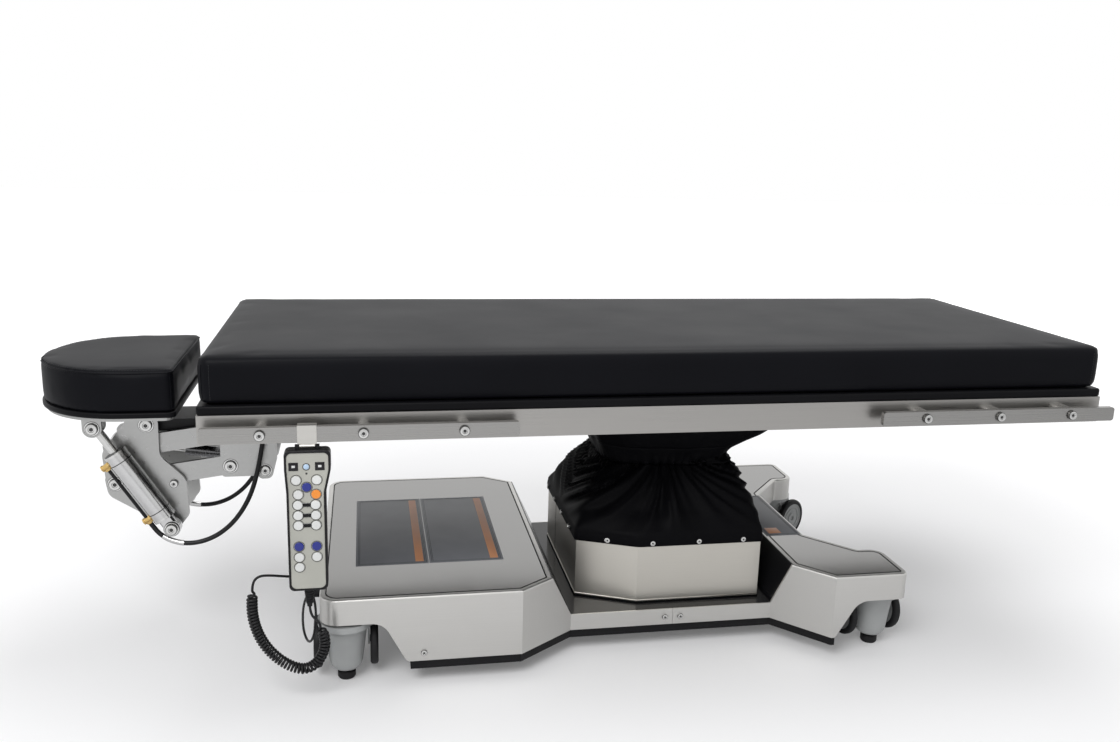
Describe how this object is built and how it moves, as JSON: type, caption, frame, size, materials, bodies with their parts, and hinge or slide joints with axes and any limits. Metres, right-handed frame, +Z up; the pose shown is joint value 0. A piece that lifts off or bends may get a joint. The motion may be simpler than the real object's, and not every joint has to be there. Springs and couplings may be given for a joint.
{
  "type": "operating table",
  "caption": "Low operating table on a wheeled base: telescopic column under a cloth shroud, tilting mattress top with side rails, hinged head rest and a corded handset.",
  "frame": {"origin": "on the floor, under the middle of the table without its cord", "axes": "+X along the table to the foot end, -Y to the side with the handset, +Z up"},
  "size_m": [1.923, 0.6947, 0.5813],
  "materials": {
    "brushed_panel": "satin brushed stainless sheet",
    "brushed_frame": "brushed stainless box and bar",
    "bright_steel": "bright machined steel",
    "steel_works": "machined steel inside the column",
    "cast_silver": "smooth silver",
    "black_metal": "satin black",
    "grey_housing": "satin grey",
    "black_gloss": "gloss",
    "inlay_grey": "satin brushed plate",
    "black_plastic": "matt",
    "grey_plastic": "matt",
    "tyre_black": "matt",
    "cord_black": "satin",
    "vinyl_black": "smooth black vinyl",
    "cloth_black": "woven, slightly shiny",
    "key_white": "matt",
    "key_blue": "matt",
    "key_orange": "matt"
  },
  "bodies": {
    "base": {"chassis": "black_metal", "base_cover_head": "brushed_panel", "base_cover_foot": "brushed_panel", "deck_panel": "black_gloss", "inlay_plates": "inlay_grey", "cover_screws": "bright_steel", "foot_cups": "grey_housing", "column_casing": "brushed_panel", "mast_outer": "steel_works", "power_pack": "black_metal", "shroud_lower": "cloth_black", "cord_socket": "black_plastic", "cord_tail": "cord_black"},
    "floor_feet": {"floor_feet": "tyre_black"},
    "caster_fork_head_near": {"caster_fork_head_near": "grey_housing"},
    "caster_wheels_head_near": {"caster_wheels_head_near": "tyre_black"},
    "caster_fork_head_far": {"caster_fork_head_far": "grey_housing"},
    "caster_wheels_head_far": {"caster_wheels_head_far": "tyre_black"},
    "caster_fork_foot_near": {"caster_fork_foot_near": "grey_housing"},
    "caster_wheels_foot_near": {"caster_wheels_foot_near": "tyre_black"},
    "caster_fork_foot_far": {"caster_fork_foot_far": "grey_housing"},
    "caster_wheels_foot_far": {"caster_wheels_foot_far": "tyre_black"},
    "mast_middle": {"mast_middle": "steel_works"},
    "mast_inner": {"mast_inner": "steel_works"},
    "tilt_block": {"tilt_block": "steel_works"},
    "tabletop": {"table_frame": "brushed_frame", "top_board": "black_plastic", "mattress": "vinyl_black", "accessory_rails": "brushed_frame", "head_brackets": "cast_silver", "shroud_upper": "cloth_black", "head_hoses": "cord_black"},
    "upper_links": {"upper_links": "cast_silver"},
    "lower_links": {"lower_links": "cast_silver"},
    "head_carrier": {"head_carrier": "cast_silver", "bumper_block": "black_plastic"},
    "head_section": {"head_plate": "cast_silver", "head_pad": "vinyl_black"},
    "tilt_barrels": {"tilt_barrels": "cast_silver"},
    "tilt_rods": {"tilt_rods": "bright_steel"},
    "strut_barrel": {"strut_barrel": "black_metal"},
    "strut_rod": {"strut_rod": "bright_steel"},
    "handset_hook": {"handset_hook": "brushed_frame"},
    "handset": {"handset_shell": "black_plastic", "handset_face": "grey_plastic", "cord_lead": "cord_black", "cord_coil": "cord_black"},
    "key_white_1": {"key_white_1": "key_white"},
    "key_white_2": {"key_white_2": "key_white"},
    "key_blue_1": {"key_blue_1": "key_blue"},
    "key_white_3": {"key_white_3": "key_white"},
    "key_orange": {"key_orange": "key_orange"},
    "key_blue_2": {"key_blue_2": "key_blue"},
    "key_blue_3": {"key_blue_3": "key_blue"},
    "key_white_4": {"key_white_4": "key_white"},
    "key_white_5": {"key_white_5": "key_white"},
    "key_white_6": {"key_white_6": "key_white"},
    "rocker_1": {"rocker_1": "key_white"},
    "rocker_2": {"rocker_2": "key_white"},
    "rocker_3": {"rocker_3": "key_white"}
  },
  "joints": [
    {"name": "swivel_head_near", "type": "hinge", "parent": "base", "child": "caster_fork_head_near", "pos_m": [-0.433, -0.263, 0.1], "axis": [0, 0, 1], "continuous": true},
    {"name": "roll_head_near", "type": "hinge", "parent": "caster_fork_head_near", "child": "caster_wheels_head_near", "pos_m": [-0.433, -0.238, 0.057], "axis": [-1, 0, 0], "continuous": true},
    {"name": "swivel_head_far", "type": "hinge", "parent": "base", "child": "caster_fork_head_far", "pos_m": [-0.433, 0.263, 0.1], "axis": [0, 0, 1], "continuous": true},
    {"name": "roll_head_far", "type": "hinge", "parent": "caster_fork_head_far", "child": "caster_wheels_head_far", "pos_m": [-0.4278, 0.28745, 0.057], "axis": [-0.9781, 0.2079, 0], "continuous": true},
    {"name": "swivel_foot_near", "type": "hinge", "parent": "base", "child": "caster_fork_foot_near", "pos_m": [0.555, -0.263, 0.1], "axis": [0, 0, 1], "continuous": true},
    {"name": "roll_foot_near", "type": "hinge", "parent": "caster_fork_foot_near", "child": "caster_wheels_foot_near", "pos_m": [0.55152, -0.23824, 0.057], "axis": [-0.9903, -0.1392, 0], "continuous": true},
    {"name": "swivel_foot_far", "type": "hinge", "parent": "base", "child": "caster_fork_foot_far", "pos_m": [0.555, 0.263, 0.1], "axis": [0, 0, 1], "continuous": true},
    {"name": "roll_foot_far", "type": "hinge", "parent": "caster_fork_foot_far", "child": "caster_wheels_foot_far", "pos_m": [0.5762, 0.27625, 0.057], "axis": [-0.5299, 0.848, 0], "continuous": true},
    {"name": "feet_retract", "type": "slide", "parent": "base", "child": "floor_feet", "axis": [0, 0, 1], "range_m": [0, 0.012]},
    {"name": "table_lift", "type": "slide", "parent": "base", "child": "mast_middle", "axis": [0, 0, 1], "range_m": [0, 0.2], "deforming": ["shroud_lower", "shroud_upper", "cord_lead", "cord_coil", "cord_tail"]},
    {"name": "table_lift_inner", "type": "slide", "parent": "mast_middle", "child": "mast_inner", "axis": [0, 0, 1], "range_m": [0, 0.2]},
    {"name": "table_tilt", "type": "hinge", "parent": "mast_inner", "child": "tilt_block", "pos_m": [0.17, 0, 0.392], "axis": [0, 1, 0], "range_deg": [-10, 15]},
    {"name": "table_roll", "type": "hinge", "parent": "tilt_block", "child": "tabletop", "pos_m": [0.17, 0, 0.392], "axis": [1, 0, 0], "range_deg": [-8, 8]},
    {"name": "head_lift", "type": "hinge", "parent": "tabletop", "child": "upper_links", "pos_m": [-0.6386, 0, 0.3904], "axis": [0, 1, 0], "range_deg": [-7, 10], "deforming": ["head_hoses"]},
    {"name": "lower_link_swing", "type": "hinge", "parent": "tabletop", "child": "lower_links", "pos_m": [-0.6386, 0, 0.3284], "axis": [0, 1, 0], "range_deg": [-10, 10]},
    {"name": "carrier_level", "type": "hinge", "parent": "upper_links", "child": "head_carrier", "pos_m": [-0.8389, 0, 0.3627], "axis": [0, 1, 0], "range_deg": [-10, 10]},
    {"name": "head_tilt", "type": "hinge", "parent": "head_carrier", "child": "head_section", "pos_m": [-0.7803, 0, 0.4094], "axis": [0, 1, 0], "range_deg": [-20, 15]},
    {"name": "cylinder_swing", "type": "hinge", "parent": "head_carrier", "child": "tilt_barrels", "pos_m": [-0.7411, 0, 0.2229], "axis": [0, 1, 0], "range_deg": [-5, 5]},
    {"name": "cylinder_stroke", "type": "slide", "parent": "tilt_barrels", "child": "tilt_rods", "axis": [-0.5309, 0, 0.8474], "range_m": [-0.026, 0.02]},
    {"name": "strut_swing", "type": "hinge", "parent": "tabletop", "child": "strut_barrel", "pos_m": [-0.5774, 0, 0.3182], "axis": [0, 1, 0], "range_deg": [-8, 8]},
    {"name": "strut_stroke", "type": "slide", "parent": "strut_barrel", "child": "strut_rod", "axis": [-0.9858, 0, 0.1678], "range_m": [-0.012, 0.012]},
    {"name": "handset_slide", "type": "slide", "parent": "tabletop", "child": "handset_hook", "axis": [1, 0, 0], "range_m": [0, 0.04]},
    {"name": "handset_swing", "type": "hinge", "parent": "handset_hook", "child": "handset", "pos_m": [-0.4855, -0.3335, 0.4446], "axis": [1, 0, 0], "range_deg": [-8, 8]},
    {"name": "press_key_white_1", "type": "slide", "parent": "handset", "child": "key_white_1", "axis": [0, 1, 0], "range_m": [0, 0.001], "stiffness_N_per_m": 400},
    {"name": "press_key_white_2", "type": "slide", "parent": "handset", "child": "key_white_2", "axis": [0, 1, 0], "range_m": [0, 0.001], "stiffness_N_per_m": 400},
    {"name": "press_key_blue_1", "type": "slide", "parent": "handset", "child": "key_blue_1", "axis": [0, 1, 0], "range_m": [0, 0.001], "stiffness_N_per_m": 400},
    {"name": "press_key_white_3", "type": "slide", "parent": "handset", "child": "key_white_3", "axis": [0, 1, 0], "range_m": [0, 0.001], "stiffness_N_per_m": 400},
    {"name": "press_key_orange", "type": "slide", "parent": "handset", "child": "key_orange", "axis": [0, 1, 0], "range_m": [0, 0.001], "stiffness_N_per_m": 400},
    {"name": "press_key_blue_2", "type": "slide", "parent": "handset", "child": "key_blue_2", "axis": [0, 1, 0], "range_m": [0, 0.001], "stiffness_N_per_m": 400},
    {"name": "press_key_blue_3", "type": "slide", "parent": "handset", "child": "key_blue_3", "axis": [0, 1, 0], "range_m": [0, 0.001], "stiffness_N_per_m": 400},
    {"name": "press_key_white_4", "type": "slide", "parent": "handset", "child": "key_white_4", "axis": [0, 1, 0], "range_m": [0, 0.001], "stiffness_N_per_m": 400},
    {"name": "press_key_white_5", "type": "slide", "parent": "handset", "child": "key_white_5", "axis": [0, 1, 0], "range_m": [0, 0.001], "stiffness_N_per_m": 400},
    {"name": "press_key_white_6", "type": "slide", "parent": "handset", "child": "key_white_6", "axis": [0, 1, 0], "range_m": [0, 0.001], "stiffness_N_per_m": 400},
    {"name": "rock_rocker_1", "type": "hinge", "parent": "handset", "child": "rocker_1", "pos_m": [-0.488, -0.3385, 0.3502], "axis": [0, 0, 1], "range_deg": [-2, 2], "stiffness_Nm_per_rad": 0.05},
    {"name": "rock_rocker_2", "type": "hinge", "parent": "handset", "child": "rocker_2", "pos_m": [-0.488, -0.3385, 0.3326], "axis": [0, 0, 1], "range_deg": [-2, 2], "stiffness_Nm_per_rad": 0.05},
    {"name": "rock_rocker_3", "type": "hinge", "parent": "handset", "child": "rocker_3", "pos_m": [-0.488, -0.3385, 0.3156], "axis": [0, 0, 1], "range_deg": [-2, 2], "stiffness_Nm_per_rad": 0.05}
  ],
  "couplings": [
    {"joint": "table_lift_inner", "follows": "table_lift", "ratio": 1},
    {"joint": "lower_link_swing", "follows": "head_lift", "ratio": 1},
    {"joint": "carrier_level", "follows": "head_lift", "ratio": -1},
    {"joint": "strut_swing", "follows": "head_lift", "ratio": 0.74},
    {"joint": "strut_stroke", "follows": "head_lift", "m_per_rad": 0.059},
    {"joint": "cylinder_swing", "follows": "head_tilt", "ratio": 0.205},
    {"joint": "cylinder_stroke", "follows": "head_tilt", "m_per_rad": 0.0675},
    {"joint": "handset_swing", "follows": "table_roll", "ratio": -1}
  ]
}
